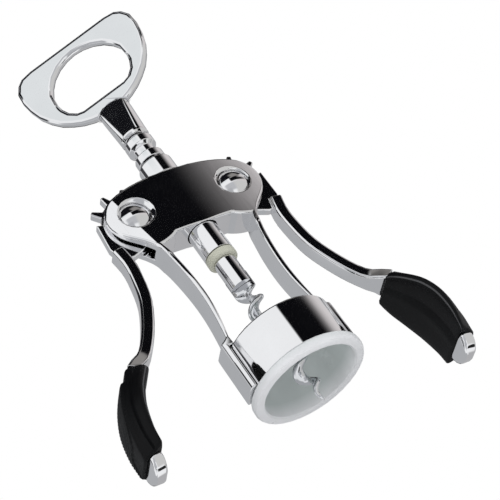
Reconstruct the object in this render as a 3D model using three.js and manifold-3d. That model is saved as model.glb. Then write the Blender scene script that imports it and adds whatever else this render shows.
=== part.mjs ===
// Wing corkscrew, standing on the mouth of its bell.
// +Z runs up the shaft, +X to the right wing and -Y to the front; the origin is the middle of the mouth.
import * as THREE from 'three';
import { mergeVertices } from 'three/addons/utils/BufferGeometryUtils.js';
import Module from 'manifold-3d';

const wasm = await Module();
wasm.setup();

// Fits in millimetres
const CLEARANCE = 0.3; // between pieces that slide or turn on each other
const OVERRUN = 2; // how far a cutting solid runs past what it cuts
const SAME_POINT = 1e-4; // corners closer than this are one corner

// Wing pivots
const PIVOT_SPREAD = 19.7; // from the shaft to each pivot
const PIVOT_HEIGHT = 83.6; // above the mouth

// Bell
const BELL_RADIUS = 19.4;
const BELL_HEIGHT = 21;
const BELL_SHELL = 0.8;
const BELL_SHOULDER = 1.5; // width of the ring that closes the top of the shell over the insert
const BELL_ROUNDING = 0.9;
const LIP_STEP = 1.4; // how far the lip stands out from the bell
const LIP_HEIGHT = 3.3;
const LIP_ROUNDING = 1.1;
const INSERT_WALL = 1.2;

// Housing
const LOBE_RADIUS = 10.4;
const LOBE_TOP = 65; // degrees above level at which the crown leaves a lobe
const LOBE_BOTTOM = -25; // degrees at which the leg leaves it
const HOUSING_CROWN = 13.2; // top of the housing above the pivots
const HOUSING_HALF_DEPTH = 6.25; // at the shaft
const HOUSING_EDGE_DROP = 0.8; // how much shallower the housing is at the pivots
const WALL = 0.9; // floor of the housing under the pinions
const SLOT_HALF = 2.5; // half the gap between the front and back plates
const SLOT_REACH = 1.9; // how far the slot runs past the pinion where the wing leaves the housing
const FLOOR_DROP = 13.3; // underside of the housing below the pivots, at the shaft

// Legs and the straps that hold the bell
const LEG_THICKNESS = 1.9;
const LEG_HALF_DEPTH = 5.1;
const LEG_ROOT_PINCH = 2.6; // inner face of a leg under the housing, nearer to the shaft than the pivot
const LEG_ROOT_DROP = 17.6; // that place below the pivots
const WAIST_PINCH = 5.1; // inner face of a leg where the legs come closest
const WAIST_HEIGHT = 43.5;
const FOOT_TUCK = 2.4; // inner face of a leg where the shoulder starts, inside the bell's outer face
const LEG_FOOT_HALF_DEPTH = 4.5;
const STRAP_THICKNESS = 2.1;
const STRAP_SHOULDER = 3.6; // height of the rounded shoulder between a leg and its strap
const STRAP_HALF_DEPTH = 5.1;

// Rack sleeve
const SLEEVE_RADIUS = 5.55;
const CORE_RADIUS = 3.9;
const RACK_PITCH = 7.75;
const RACK_OFFSET = 0.3; // nearest ring above the pivots
const RINGS_BELOW = 1;
const RINGS_ABOVE = 4;
const RING_CREST = 1.55; // half of a ring's outer width
const RING_BASE = 2.5; // half of its width at the core
const SLEEVE_DROP = 24.8; // lower end of the sleeve below the pivots
const PLAIN_DROP = 11.6; // upper end of the plain part of the sleeve below the pivots
const COLLAR_WALL = 0.65;
const COLLAR_SEAT_RISE = 12.9; // flat seat of the collar above the pivots
const COLLAR_HEIGHT = 7.8;
const COLLAR_BEAD = 0.5;

// Spindle, socket and lower bush
const ROD_RADIUS = 2.6;
const BUSH_HEIGHT = 3;
const BUSH_ROUNDING = 0.5;
const SOCKET_RADIUS = 4.05;
const SOCKET_LENGTH = 11.8;
const ROD_IN_SOCKET = 4; // length of the rod inside the socket
const ROD_IN_NECK = 9; // length of the rod inside the neck

// Worm
const WORM_TIP = -7.5;
const WORM_PITCH = 9.3;
const WORM_RADIUS = 4.2;
const WORM_THICKNESS = 2.2;
const WORM_SHANK = 7.3; // straight upper end
const WORM_GRIP = 5; // length of the shank inside the socket
const WORM_TAPER = 9.5; // length over which the tip runs out

// Handle
const HANDLE_TURN = -30; // degrees about the shaft, in the pose of rest
const HANDLE_THICKNESS = 3.5;
const HANDLE_BEVEL = 0.7;
const HANDLE_HALF_WIDTH = 26.1;
const HANDLE_HEIGHT = 37;
const HOLE_HALF_WIDTH = 15.7;
const HOLE_HEIGHT = 25.1;
const HOLE_RISE = 7.1; // bottom of the hole above the foot of the plate
const NECK_RISE = 0.9; // foot of the neck above the top ring of the rack
const NECK_LENGTH = 16.9; // from the foot of the neck to the foot of the plate
const NECK_OVERLAP = 1.6; // how far the neck runs up into the plate
const NECK_RADIUS = 6.1;
const NECK_FOOT_RADIUS = 5.5;
const NECK_RING = 1.3; // round ring left under the flats
const FLAT_TOP = 3.3; // flat's distance from the shaft at the top of the neck
const FLAT_BOTTOM = 4.5;

// Wings
const HUB_HALF = 1.5;
const PINION_TIP = 14.9;
const PINION_ROOT = 11.3;
const TOOTH_TIP = 0.75; // half width of a tooth at its tip
const TOOTH_ROOT = 1.5;
const TOOTH_FIRST = 122.6; // degrees from straight down, towards the outside
const TOOTH_COUNT = 6;
const HUB_TOP = 99; // degrees from straight down at which the hub meets the arm's back
const HUB_REST = [300, 325, 350]; // degrees of the hub's round part after the last tooth
const BACKLASH = 2.15; // degrees by which each wing leans on its own side of the rack's play
const ARM_HALF_WIDTH = 2.2;
const ARM_HALF_DEPTH = 3.15;
const ARM_FLARE = 2.4; // how much deeper the arm is where it enters the grip
const ARM_BEVEL = 0.5;
const SHOULDER = 13.1; // outer edge of the hub from the pivot
const WING_LENGTH = 105;
const TANG_HALF_WIDTH = 1.4;
const TANG_HALF_DEPTH = 3;
const TIP_HALF_WIDTH = 2.5;
const TIP_HALF_DEPTH = 6.8;

// Pivot pins and washers
const PIN_RADIUS = 3;
const PIN_HEAD_RADIUS = 5.3;
const PIN_HEAD_EDGE = 0.5;
const PIN_DOME = 1.1;
const COUNTERBORE = 1.9; // depth of the recess for a pin's head
const COUNTERSINK = 0.8; // width and depth of the bevel around the recess
const WASHER_RADIUS = 8;
const WASHER_THICKNESS = 0.5;

// Grips, from their upper to their lower end
const GRIP_OUTSIDE = [3.14, 1.98, 3.39]; // outer face from the wing's line
const GRIP_EDGE = 2.65; // inner face from that line at the front and back edges
const GRIP_BELLY = [2.04, 2.19, 0]; // how much further the inner face bulges in its middle
const GRIP_HALF_DEPTH = [5.79, 10, 10.34, 8.52];

// Facet counts
const FINE = 36;
const COARSE = 20;
const GRIP_SIDES = 16;
const GRIP_STEPS = 12;
const TIP_SIDES = 12;
const TIP_STEPS = 6;
const ARM_SIDES = 8;
const ARM_STEPS = 18;
const WORM_SIDES = 8;
const WORM_STEPS = 64;
const CURVE_STEPS = 7;
const LOBE_STEPS = 9;
const DOME_STEPS = 4;

// Outlines as shares of a size: across, then up
const handleShares = [[0, 1], [0.65, 1], [0.82, 0.981], [0.916, 0.93], [0.989, 0.84], [1, 0.711],
  [0.973, 0.576], [0.92, 0.443], [0.835, 0.327], [0.728, 0.222], [0.594, 0.138], [0.467, 0.076],
  [0.322, 0.027], [0.19, 0]];
const holeShares = [[0, 0], [0.573, 0], [0.72, 0.03], [0.879, 0.127], [0.965, 0.25], [1, 0.386],
  [0.981, 0.566], [0.866, 0.705], [0.707, 0.825], [0.478, 0.924], [0.236, 0.98], [0, 1]];
const wingShares = [[0.105, -0.103], [0.0926, -0.167], [0.0943, -0.238], [0.105, -0.319], [0.129, -0.39],
  [0.164, -0.465], [0.203, -0.522], [0.25, -0.558], [0.29, -0.614], [0.32, -0.668], [0.339, -0.733],
  [0.342, -0.81], [0.3305, -0.882], [0.3275, -0.931]];
const flankShares = [[0.76, -0.87], [0.16, -1.12]]; // of the lobe's radius from the pivot
const upperLegShares = { root: 0.42, top: 0.28, waist: 0.35 };
const lowerLegShares = { waist: 0.32, foot: 0.36, spread: 0.39, thin: 0.6 };
const shoulderShares = { out: 0.5, down: 0.45 };
const hubShares = { shoulder: 0.15, heel: 0.62 };
const elbowShares = [[0.91, 11.5], [1.087, 23.2]]; // radius, then degrees from straight down
const gripShares = { start: 0.569, end: 0.942, startSlant: 0.25, endSlant: 0.095, taper: 0.3 };
const tipShares = { end: 0.92, thin: 0.3 };
const squareShare = 0.335; // 1 for round sections, 0 for square ones
const flareShare = 0.8; // share of the arm at which it starts to get deeper
const insideShare = 0.02; // how far the tang reaches into the arm and the tip
const pointShare = 0.04; // size of the worm's section at its point
const bladeShares = { fill: 1.04, lean: 0.6, pull: 1.4 };

// Places that follow from the sizes
const LIP_RADIUS = BELL_RADIUS + LIP_STEP;
const STRAP_SPREAD = BELL_RADIUS + STRAP_THICKNESS;
const LEG_FOOT_SPREAD = BELL_RADIUS - FOOT_TUCK;
const LEG_ROOT_SPREAD = PIVOT_SPREAD - LEG_ROOT_PINCH;
const WAIST_SPREAD = PIVOT_SPREAD - WAIST_PINCH;
const LEG_TOP = PIVOT_HEIGHT - LEG_ROOT_DROP;
const FOOT = BELL_HEIGHT + CLEARANCE;
const SHOULDER_TOP = FOOT + STRAP_SHOULDER;
const SLEEVE_BOTTOM = PIVOT_HEIGHT - SLEEVE_DROP;
const PLAIN_TOP = PIVOT_HEIGHT - PLAIN_DROP;
const COLLAR_RADIUS = SLEEVE_RADIUS + CLEARANCE + COLLAR_WALL;
const COLLAR_SEAT = PIVOT_HEIGHT + COLLAR_SEAT_RISE;
const COLLAR_TOP = COLLAR_SEAT + COLLAR_HEIGHT;
const NECK_BOTTOM = PIVOT_HEIGHT + RACK_OFFSET + RINGS_ABOVE * RACK_PITCH + RING_BASE + NECK_RISE;
const HANDLE_FOOT = NECK_BOTTOM + NECK_LENGTH;
const NECK_TOP = HANDLE_FOOT + NECK_OVERLAP;
const HOLE_BOTTOM = HANDLE_FOOT + HOLE_RISE;
const SOCKET_TOP = SLEEVE_BOTTOM - BUSH_HEIGHT - 2 * CLEARANCE;
const SOCKET_BOTTOM = SOCKET_TOP - SOCKET_LENGTH;
const HOUSING_FACE = HOUSING_HALF_DEPTH - HOUSING_EDGE_DROP; // at the pivots

// Gearing: the pinions roll on a line just outside the rings
const PITCH_RADIUS = PIVOT_SPREAD - SLEEVE_RADIUS - CLEARANCE;
const TOOTH_STEP = THREE.MathUtils.radToDeg(RACK_PITCH / PITCH_RADIUS); // degrees between teeth

const steel = (color, roughness) => new THREE.MeshStandardMaterial({ color, roughness, metalness: 1 });
const plastic = (color, roughness) => new THREE.MeshStandardMaterial({ color, roughness, metalness: 0 });
const materials = {
  chrome: steel(0xd8d9dc, 0.06),
  worm: steel(0xc9ccd2, 0.12),
  rod: steel(0xb9bcc2, 0.2),
  rubber: plastic(0x17181a, 0.62),
  insert: plastic(0xd9d8de, 0.35),
  nylon: plastic(0xc8c4a8, 0.45),
};

// Closed mesh to solid, with faces turned out
function solid(geometry) {
  const source = geometry.index ? geometry.toNonIndexed() : geometry;
  const bare = new THREE.BufferGeometry().setAttribute('position', source.attributes.position);
  const merged = mergeVertices(bare, SAME_POINT);
  const place = merged.attributes.position.array;
  const corners = [];
  const point = (i) => new THREE.Vector3().fromArray(place, 3 * i);
  let volume = 0;
  for (let i = 0; i < merged.index.count; i += 3) {
    const [a, b, c] = merged.index.array.slice(i, i + 3);
    if (a === b || b === c || c === a) continue;
    corners.push(a, b, c);
    volume += point(a).dot(point(b).cross(point(c)));
  }
  if (volume < 0) corners.reverse();
  return new wasm.Manifold(new wasm.Mesh({
    numProp: 3,
    vertProperties: Float32Array.from(place),
    triVerts: Uint32Array.from(corners),
  }));
}

function mesh(name, body, material) {
  const { vertProperties, triVerts, numProp } = body.getMesh();
  const geometry = new THREE.BufferGeometry();
  const places = [];
  for (let i = 0; i < vertProperties.length; i += numProp) places.push(...vertProperties.subarray(i, i + 3));
  geometry.setAttribute('position', new THREE.Float32BufferAttribute(places, 3));
  geometry.setIndex([...triVerts]);
  const object = new THREE.Mesh(geometry, material);
  object.name = name;
  return object;
}

// Shape drawn in X and Z, extruded to both sides of the middle
function prismY(shape, halfDepth, { bevel = 0, segments = COARSE } = {}) {
  const geometry = new THREE.ExtrudeGeometry(shape, {
    depth: 2 * (halfDepth - bevel),
    bevelEnabled: bevel > 0,
    bevelThickness: bevel,
    bevelSize: bevel,
    bevelOffset: -bevel,
    bevelSegments: 1,
    curveSegments: segments,
  });
  geometry.translate(0, 0, bevel - halfDepth);
  geometry.rotateX(Math.PI / 2);
  return solid(geometry);
}

// Shape drawn in Y and Z, extruded to both sides of the middle
function prismX(shape, half) {
  const geometry = new THREE.ExtrudeGeometry(shape, { depth: 2 * half, bevelEnabled: false });
  geometry.translate(0, 0, -half);
  geometry.rotateX(Math.PI / 2);
  geometry.rotateZ(Math.PI / 2);
  return solid(geometry);
}

// Shape drawn in X and Y, extruded from one height to another
function prismZ(shape, bottom, top, segments) {
  const geometry = new THREE.ExtrudeGeometry(shape, {
    depth: top - bottom,
    bevelEnabled: false,
    curveSegments: segments,
  });
  geometry.translate(0, 0, bottom);
  return solid(geometry);
}

// Profile of [radius, height] pairs turned about the shaft
function turned(profile, segments = FINE) {
  const points = profile.map(([radius, height]) => new THREE.Vector2(radius, height));
  const geometry = new THREE.LatheGeometry(points, segments);
  geometry.rotateX(Math.PI / 2);
  return solid(geometry);
}

// The same, about a pivot's axis, with height measured to the back
function turnedY(profile, x, z, segments = COARSE) {
  const points = profile.map(([radius, back]) => new THREE.Vector2(radius, back));
  const geometry = new THREE.LatheGeometry(points, segments);
  geometry.translate(x, 0, z);
  return solid(geometry);
}

const cylinder = (radius, bottom, top, segments = FINE) =>
  turned([[0, bottom], [radius, bottom], [radius, top], [0, top]], segments);
const box = (x0, x1, y0, y1, z0, z1) => {
  const geometry = new THREE.BoxGeometry(x1 - x0, y1 - y0, z1 - z0);
  geometry.translate((x0 + x1) / 2, (y0 + y1) / 2, (z0 + z1) / 2);
  return solid(geometry);
};
const circle = (radius, x = 0, y = 0) => new THREE.Shape().absarc(x, y, radius, 0, 2 * Math.PI);

// Unit cylinder bent along a path: place(t, across, through) gives each point of the section at share t
function loft(sides, steps, place) {
  const geometry = new THREE.CylinderGeometry(1, 1, 1, sides, steps, false, Math.PI / sides);
  const position = geometry.attributes.position;
  const point = new THREE.Vector3();
  for (let i = 0; i < position.count; i++) {
    point.fromBufferAttribute(position, i);
    const moved = place(0.5 - point.y, point.x, point.z);
    position.setXYZ(i, moved.x, moved.y, moved.z);
  }
  return solid(geometry);
}

// Smooth value at share t through values spread evenly from one end to the other
function blend(values, t) {
  const last = values.length - 1;
  const factor = (i, j) => (j === i ? 1 : (t * last - j) / (i - j));
  const weight = (i) => values.reduce((product, _, j) => product * factor(i, j), 1);
  return values.reduce((sum, value, i) => sum + value * weight(i), 0);
}

// Points of a curve with four control points
const bend = (...pairs) => new THREE.CubicBezierCurve(...pairs.map((pair) => new THREE.Vector2(...pair)))
  .getPoints(CURVE_STEPS);

// Outline from its right half, whose first and last points lie on the middle line
function mirrorShape(half, Kind) {
  const left = half.slice(1, -1).reverse().map((p) => new THREE.Vector2(-p.x, p.y));
  return new Kind([...half, ...left]);
}

// Frame: housing, legs and the straps that hold the bell
function frameOutline() {
  const top = THREE.MathUtils.degToRad(LOBE_TOP);
  const bottom = THREE.MathUtils.degToRad(LOBE_BOTTOM);
  const lobePoints = new THREE.EllipseCurve(
    PIVOT_SPREAD, PIVOT_HEIGHT, LOBE_RADIUS, LOBE_RADIUS, top, bottom, true,
  ).getPoints(LOBE_STEPS);
  const [start] = lobePoints;
  const crown = PIVOT_HEIGHT + HOUSING_CROWN;
  const control = new THREE.Vector2(start.x - (crown - start.y) * Math.tan(top), crown);
  const crownLine = new THREE.QuadraticBezierCurve(new THREE.Vector2(0, crown), control, start);
  const half = [
    ...crownLine.getPoints(CURVE_STEPS),
    ...lobePoints.slice(1),
    ...flank(lobePoints[LOBE_STEPS]).slice(1),
    ...legFace(LEG_THICKNESS).slice(1),
    ...shoulder().slice(1),
    new THREE.Vector2(STRAP_SPREAD, LIP_HEIGHT + CLEARANCE),
    new THREE.Vector2(LEG_FOOT_SPREAD, LIP_HEIGHT + CLEARANCE),
    ...legFace(0).reverse(),
    ...floorEdge(),
  ];
  return mirrorShape(half, THREE.Shape);
}

// Side of the housing under a lobe, down to the root of the leg
function flank(lobeEnd) {
  const control = ([x, z]) => [PIVOT_SPREAD + LOBE_RADIUS * x, PIVOT_HEIGHT + LOBE_RADIUS * z];
  const root = [LEG_ROOT_SPREAD + LEG_THICKNESS, LEG_TOP];
  return bend([lobeEnd.x, lobeEnd.y], ...flankShares.map(control), root);
}

// Face of a leg from the housing to the shoulder of its strap, offset outward from the inner face
function legFace(offset) {
  const root = LEG_ROOT_SPREAD + offset;
  const waist = WAIST_SPREAD + offset;
  const foot = LEG_FOOT_SPREAD + offset * lowerLegShares.thin;
  const upper = LEG_TOP - WAIST_HEIGHT;
  const lower = WAIST_HEIGHT - SHOULDER_TOP;
  const above = bend(
    [root, LEG_TOP],
    [waist + (root - waist) * upperLegShares.root, LEG_TOP - upper * upperLegShares.top],
    [waist, WAIST_HEIGHT + upper * upperLegShares.waist],
    [waist, WAIST_HEIGHT],
  );
  const below = bend(
    [waist, WAIST_HEIGHT],
    [waist, WAIST_HEIGHT - lower * lowerLegShares.waist],
    [waist + (foot - waist) * lowerLegShares.spread, SHOULDER_TOP + lower * lowerLegShares.foot],
    [foot, SHOULDER_TOP],
  );
  return [...above, ...below.slice(1)];
}

// Rounded step from the outer face of a leg out to its strap
function shoulder() {
  const leg = LEG_FOOT_SPREAD + LEG_THICKNESS * lowerLegShares.thin;
  const out = STRAP_SPREAD - leg;
  return bend(
    [leg, SHOULDER_TOP],
    [leg + out * shoulderShares.out, SHOULDER_TOP - STRAP_SHOULDER * shoulderShares.down],
    [STRAP_SPREAD, SHOULDER_TOP - STRAP_SHOULDER * shoulderShares.down],
    [STRAP_SPREAD, SHOULDER_TOP - STRAP_SHOULDER],
  );
}

// Underside of the housing: round under each pinion, then flat at the shaft
function floorEdge() {
  const radius = PINION_TIP + CLEARANCE + WALL;
  const start = Math.asin((LEG_ROOT_SPREAD + LEG_THICKNESS / 4 - PIVOT_SPREAD) / radius);
  const end = -Math.acos(FLOOR_DROP / radius);
  const points = [];
  for (let i = 0; i <= CURVE_STEPS; i++) {
    const angle = start + ((end - start) * i) / CURVE_STEPS;
    const below = radius * Math.cos(angle);
    points.push(new THREE.Vector2(PIVOT_SPREAD + radius * Math.sin(angle), PIVOT_HEIGHT - below));
  }
  points.push(new THREE.Vector2(0, PIVOT_HEIGHT - FLOOR_DROP));
  return points;
}

// Plan view of the housing, whose faces are slightly domed
function housingPlan() {
  const radius = (PIVOT_SPREAD ** 2 + HOUSING_EDGE_DROP ** 2) / (2 * HOUSING_EDGE_DROP);
  const half = Math.asin((PIVOT_SPREAD + LOBE_RADIUS + OVERRUN) / radius);
  const quarter = Math.PI / 2;
  const plan = new THREE.Shape();
  plan.absarc(0, radius - HOUSING_HALF_DEPTH, radius, -quarter - half, -quarter + half);
  plan.absarc(0, HOUSING_HALF_DEPTH - radius, radius, quarter - half, quarter + half);
  return prismZ(plan, 0, COLLAR_TOP, FINE);
}

// Side view, drawn in Y and Z: the legs are shallower than the housing and thin out downward
function frameSide() {
  const full = HOUSING_HALF_DEPTH + OVERRUN;
  const back = [
    [STRAP_HALF_DEPTH, 0],
    [STRAP_HALF_DEPTH, BELL_HEIGHT],
    [LEG_FOOT_HALF_DEPTH, SHOULDER_TOP],
    ...bend([LEG_HALF_DEPTH, LEG_TOP - LOBE_RADIUS], [LEG_HALF_DEPTH, LEG_TOP - LOBE_RADIUS / 3],
      [LEG_HALF_DEPTH, LEG_TOP], [full, LEG_TOP + LOBE_RADIUS / 2]).map((p) => [p.x, p.y]),
    [full, COLLAR_TOP],
  ];
  const half = [[0, 0], ...back, [0, COLLAR_TOP]].map((pair) => new THREE.Vector2(...pair));
  return prismX(mirrorShape(half, THREE.Shape), PIVOT_SPREAD + LOBE_RADIUS + OVERRUN);
}

// Ring around the bell that leaves the straps as thin as their wall
function strapTrim() {
  const near = STRAP_SPREAD;
  const far = near + LOBE_RADIUS;
  return turned([[near, 0], [far, 0], [far, WAIST_HEIGHT], [near, WAIST_HEIGHT], [near, 0]]);
}

// Slot for a wing's hub, deeper on the outside, where the wing leaves the housing
function slot(side) {
  const x = side * PIVOT_SPREAD;
  const from = -side * Math.PI / 2;
  const outside = new THREE.Shape().absarc(x, PIVOT_HEIGHT, PINION_TIP + SLOT_REACH, from, from + Math.PI);
  const inside = circle(PINION_TIP + CLEARANCE, x, PIVOT_HEIGHT);
  const shape = { segments: COARSE };
  return prismY(inside, SLOT_HALF, shape).add(prismY(outside, SLOT_HALF, shape));
}

// Pin hole with a bevelled recess for the pin's head on both faces
function pinHole(side) {
  const far = HOUSING_HALF_DEPTH + OVERRUN;
  const recess = PIN_HEAD_RADIUS + CLEARANCE;
  const wide = recess + COUNTERSINK + OVERRUN;
  const floor = HOUSING_FACE - COUNTERBORE;
  const back = [
    [PIN_RADIUS + CLEARANCE, floor],
    [recess, floor],
    [recess, HOUSING_FACE - COUNTERSINK],
    [wide, HOUSING_FACE + OVERRUN],
    [wide, far],
    [0, far],
  ];
  const front = back.slice().reverse().map(([radius, depth]) => [radius, -depth]);
  return turnedY([...front, ...back], side * PIVOT_SPREAD, PIVOT_HEIGHT);
}

function frame() {
  const full = HOUSING_HALF_DEPTH + OVERRUN;
  const seat = COLLAR_RADIUS + WALL;
  let body = prismY(frameOutline(), full).intersect(housingPlan()).intersect(frameSide());
  body = body.subtract(cylinder(SLEEVE_RADIUS + CLEARANCE, PIVOT_HEIGHT - FLOOR_DROP - OVERRUN, COLLAR_TOP));
  body = body.subtract(box(-seat, seat, -full, full, COLLAR_SEAT, COLLAR_TOP));
  body = body.subtract(cylinder(BELL_RADIUS + CLEARANCE, 0, FOOT)).subtract(strapTrim());
  for (const side of [-1, 1]) body = body.subtract(slot(side)).subtract(pinHole(side));
  return mesh('frame', body, materials.chrome);
}

// Bell: chromed shell and the plastic insert whose lip sits on the bottle
function bell() {
  const shellInner = BELL_RADIUS - BELL_SHELL;
  const bottom = LIP_HEIGHT + CLEARANCE;
  const shell = turned([
    [shellInner, bottom],
    [BELL_RADIUS, bottom],
    [BELL_RADIUS, BELL_HEIGHT - BELL_ROUNDING],
    [BELL_RADIUS - BELL_ROUNDING / 3, BELL_HEIGHT - BELL_ROUNDING / 3],
    [BELL_RADIUS - BELL_ROUNDING, BELL_HEIGHT],
    [shellInner - BELL_SHOULDER, BELL_HEIGHT],
    [shellInner - BELL_SHOULDER, BELL_HEIGHT - BELL_SHELL],
    [shellInner, BELL_HEIGHT - BELL_SHELL],
    [shellInner, bottom],
  ]);
  const outer = shellInner - CLEARANCE;
  const inner = outer - INSERT_WALL;
  const top = BELL_HEIGHT - BELL_SHELL - CLEARANCE;
  const insert = turned([
    [inner + LIP_ROUNDING / 2, 0],
    [LIP_RADIUS - LIP_ROUNDING, 0],
    [LIP_RADIUS - LIP_ROUNDING / 3, LIP_ROUNDING / 3],
    [LIP_RADIUS, LIP_ROUNDING],
    [LIP_RADIUS, LIP_HEIGHT - LIP_ROUNDING / 2],
    [LIP_RADIUS - LIP_ROUNDING / 2, LIP_HEIGHT],
    [outer, LIP_HEIGHT],
    [outer, top],
    [inner, top],
    [inner, LIP_ROUNDING / 2],
    [inner + LIP_ROUNDING / 2, 0],
  ]);
  return [mesh('bell_shell', shell, materials.chrome), mesh('bell_insert', insert, materials.insert)];
}

// Collar on the housing, in which the sleeve slides
function collar() {
  const bore = SLEEVE_RADIUS + CLEARANCE;
  const ring = turned([
    [bore, COLLAR_SEAT],
    [COLLAR_RADIUS, COLLAR_SEAT],
    [COLLAR_RADIUS, COLLAR_TOP - COLLAR_BEAD],
    [COLLAR_RADIUS - COLLAR_BEAD, COLLAR_TOP],
    [bore, COLLAR_TOP],
    [bore, COLLAR_SEAT],
  ]);
  return mesh('guide_collar', ring, materials.chrome);
}

// Rack sleeve: a plain tube below, turned rings above that both pinions drive
function sleeve() {
  const bore = ROD_RADIUS + CLEARANCE;
  const top = NECK_BOTTOM - CLEARANCE;
  const flank = RING_BASE - RING_CREST;
  const profile = [[bore, SLEEVE_BOTTOM], [SLEEVE_RADIUS, SLEEVE_BOTTOM], [SLEEVE_RADIUS, PLAIN_TOP]];
  profile.push([CORE_RADIUS, PLAIN_TOP + flank]);
  for (let ring = -RINGS_BELOW; ring <= RINGS_ABOVE; ring++) {
    const middle = PIVOT_HEIGHT + RACK_OFFSET + ring * RACK_PITCH;
    profile.push([CORE_RADIUS, middle - RING_BASE], [SLEEVE_RADIUS, middle - RING_CREST]);
    profile.push([SLEEVE_RADIUS, middle + RING_CREST], [CORE_RADIUS, middle + RING_BASE]);
  }
  profile.push([CORE_RADIUS, top], [bore, top], [bore, SLEEVE_BOTTOM]);
  return mesh('rack_sleeve', turned(profile, COARSE), materials.chrome);
}

// Nylon bush between the sleeve and the worm's socket
function lowerBush() {
  const top = SLEEVE_BOTTOM - CLEARANCE;
  const bottom = top - BUSH_HEIGHT;
  const bore = ROD_RADIUS + CLEARANCE;
  const ring = turned([
    [bore, bottom],
    [SLEEVE_RADIUS - BUSH_ROUNDING, bottom],
    [SLEEVE_RADIUS, bottom + BUSH_ROUNDING],
    [SLEEVE_RADIUS, top],
    [bore, top],
    [bore, bottom],
  ]);
  return mesh('lower_bush', ring, materials.nylon);
}

// Rod through the sleeve, from the neck of the handle to the socket of the worm
function rod() {
  const body = cylinder(ROD_RADIUS, SOCKET_TOP - ROD_IN_SOCKET, NECK_BOTTOM + ROD_IN_NECK, COARSE);
  return mesh('spindle_rod', body, materials.rod);
}

// Socket with a slit for the worm's shank
function socket() {
  const wide = SOCKET_RADIUS + OVERRUN;
  const slit = WORM_THICKNESS / 2 + CLEARANCE;
  const low = SOCKET_BOTTOM - OVERRUN;
  const bore = ROD_RADIUS + CLEARANCE;
  const body = cylinder(SOCKET_RADIUS, SOCKET_BOTTOM, SOCKET_TOP)
    .subtract(cylinder(bore, SOCKET_TOP - ROD_IN_SOCKET - CLEARANCE, SOCKET_TOP + OVERRUN, COARSE))
    .subtract(box(-wide, wide, -slit, slit, low, SOCKET_BOTTOM + WORM_GRIP + CLEARANCE));
  return mesh('worm_socket', body, materials.chrome);
}

// Worm: a blade that leaves the socket flat and winds down to a point as a right-handed helix
function worm() {
  const top = SOCKET_BOTTOM + WORM_GRIP;
  const spiralTop = top - WORM_SHANK;
  const blade = loft(WORM_SIDES, WORM_STEPS, (t, across, through) => {
    const z = top + (WORM_TIP - top) * t;
    const spiral = THREE.MathUtils.clamp((spiralTop - z) / (WORM_PITCH / 2), 0, 1);
    const point = THREE.MathUtils.clamp((z - WORM_TIP) / WORM_TAPER, pointShare, 1);
    const angle = Math.PI - (Math.max(0, spiralTop - z) / WORM_PITCH) * 2 * Math.PI;
    const reach = (WORM_RADIUS / (1 + spiral)) * point;
    const radial = spiral * reach + across * reach * bladeShares.fill;
    const thick = (WORM_THICKNESS / 2) * Math.sqrt(point) * through;
    const lean = spiral * bladeShares.lean;
    return new THREE.Vector3(
      radial * Math.cos(angle) - thick * (1 - lean) * Math.sin(angle),
      radial * Math.sin(angle) + thick * (1 - lean) * Math.cos(angle),
      z - thick * lean * bladeShares.pull,
    );
  });
  return mesh('worm', blade, materials.worm);
}

// Handle: plate with a crown-cap hole on a neck with two flats
function plate() {
  const scaled = (shares, half, foot, height) =>
    shares.map(([x, z]) => new THREE.Vector2(x * half, foot + z * height));
  const outer = scaled(handleShares, HANDLE_HALF_WIDTH, HANDLE_FOOT, HANDLE_HEIGHT);
  const shape = mirrorShape([...outer, new THREE.Vector2(0, HANDLE_FOOT)], THREE.Shape);
  shape.holes.push(mirrorShape(scaled(holeShares, HOLE_HALF_WIDTH, HOLE_BOTTOM, HOLE_HEIGHT), THREE.Path));
  return prismY(shape, HANDLE_THICKNESS / 2, { bevel: HANDLE_BEVEL });
}

function neck() {
  const low = NECK_BOTTOM + NECK_RING;
  const high = NECK_TOP + OVERRUN;
  const wide = NECK_RADIUS + OVERRUN;
  let body = turned([
    [0, NECK_BOTTOM],
    [NECK_FOOT_RADIUS - BUSH_ROUNDING, NECK_BOTTOM],
    [NECK_FOOT_RADIUS, NECK_BOTTOM + BUSH_ROUNDING],
    [NECK_RADIUS, HANDLE_FOOT - NECK_RADIUS / 2],
    [NECK_RADIUS, HANDLE_FOOT],
    [NECK_RADIUS - NECK_FOOT_RADIUS / 2, NECK_TOP],
    [0, NECK_TOP],
  ]);
  for (const face of [-1, 1]) {
    const flat = [[FLAT_BOTTOM, low], [wide, low], [wide, high], [FLAT_TOP, high]];
    const shape = new THREE.Shape(flat.map(([y, z]) => new THREE.Vector2(face * y, z)));
    body = body.subtract(prismX(shape, wide));
  }
  return body;
}

function handle() {
  const top = NECK_BOTTOM + ROD_IN_NECK + CLEARANCE;
  const bore = cylinder(ROD_RADIUS + CLEARANCE, NECK_BOTTOM - OVERRUN, top, COARSE);
  return mesh('handle', plate().add(neck()).subtract(bore), materials.chrome);
}

// Wings, drawn for the right side from the pivot
const wingPoints = wingShares.map(([x, z]) => new THREE.Vector2(x * WING_LENGTH, z * WING_LENGTH));
const wingLine = new THREE.SplineCurve(wingPoints);

// Place at a share of the wing's line, moved sideways away from the shaft and out from the middle plane
function beside(share, side, depth) {
  const at = wingLine.getPointAt(share);
  const along = wingLine.getTangentAt(share);
  return new THREE.Vector3(at.x - along.y * side, depth, at.y + along.x * side);
}

// Ends of the grip, cut at a slant: share of the line at which a face lies, this far from the line
const gripStart = (side) => gripShares.start + (gripShares.startSlant * side) / WING_LENGTH;
const gripEnd = (side) => gripShares.end + (gripShares.endSlant * side) / WING_LENGTH;

const fromDown = (radius, degrees) => {
  const angle = THREE.MathUtils.degToRad(degrees);
  return new THREE.Vector2(radius * Math.sin(angle), -radius * Math.cos(angle));
};

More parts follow.
